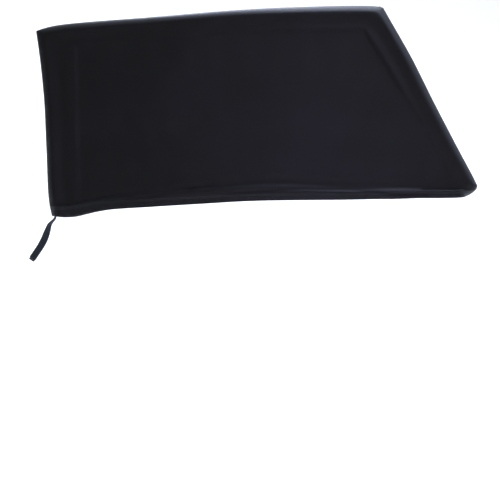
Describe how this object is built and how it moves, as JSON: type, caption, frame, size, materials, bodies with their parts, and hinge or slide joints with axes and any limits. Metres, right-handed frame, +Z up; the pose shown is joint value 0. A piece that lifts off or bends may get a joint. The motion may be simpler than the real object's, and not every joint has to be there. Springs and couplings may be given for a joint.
{
  "type": "car side window sunshade",
  "caption": "Slip-on bag of fine dark mesh that is pulled over a car's rear side window frame as a sunshade, open at the bottom, with an elastic hem and a self-gripping strap.",
  "frame": {"origin": "in the open mouth of the bag, on the plane of the edge seam, at the middle of the mouth's length; this is the mount window_frame_mouth", "axes": "+X along the mouth towards the rear edge, -Y towards the cabin, +Z up, away from the open mouth"},
  "size_m": [0.9851, 0.0697, 0.5635],
  "materials": {
    "mesh_cloth": "fine stretch mesh, satin",
    "overlock_edge": "overlocked thread, matte",
    "elastic": "woven elastic, matte",
    "strap_tape": "woven tape with lengthwise ribs",
    "hook_tape": "hook tape, matte"
  },
  "bodies": {
    "root": {"inner_panel": "mesh_cloth", "outer_panel": "mesh_cloth", "edge_seam": "overlock_edge", "inner_hem_elastic": "elastic", "outer_hem_elastic": "elastic", "strap": "strap_tape", "hook_patch": "hook_tape"}
  },
  "joints": []
}
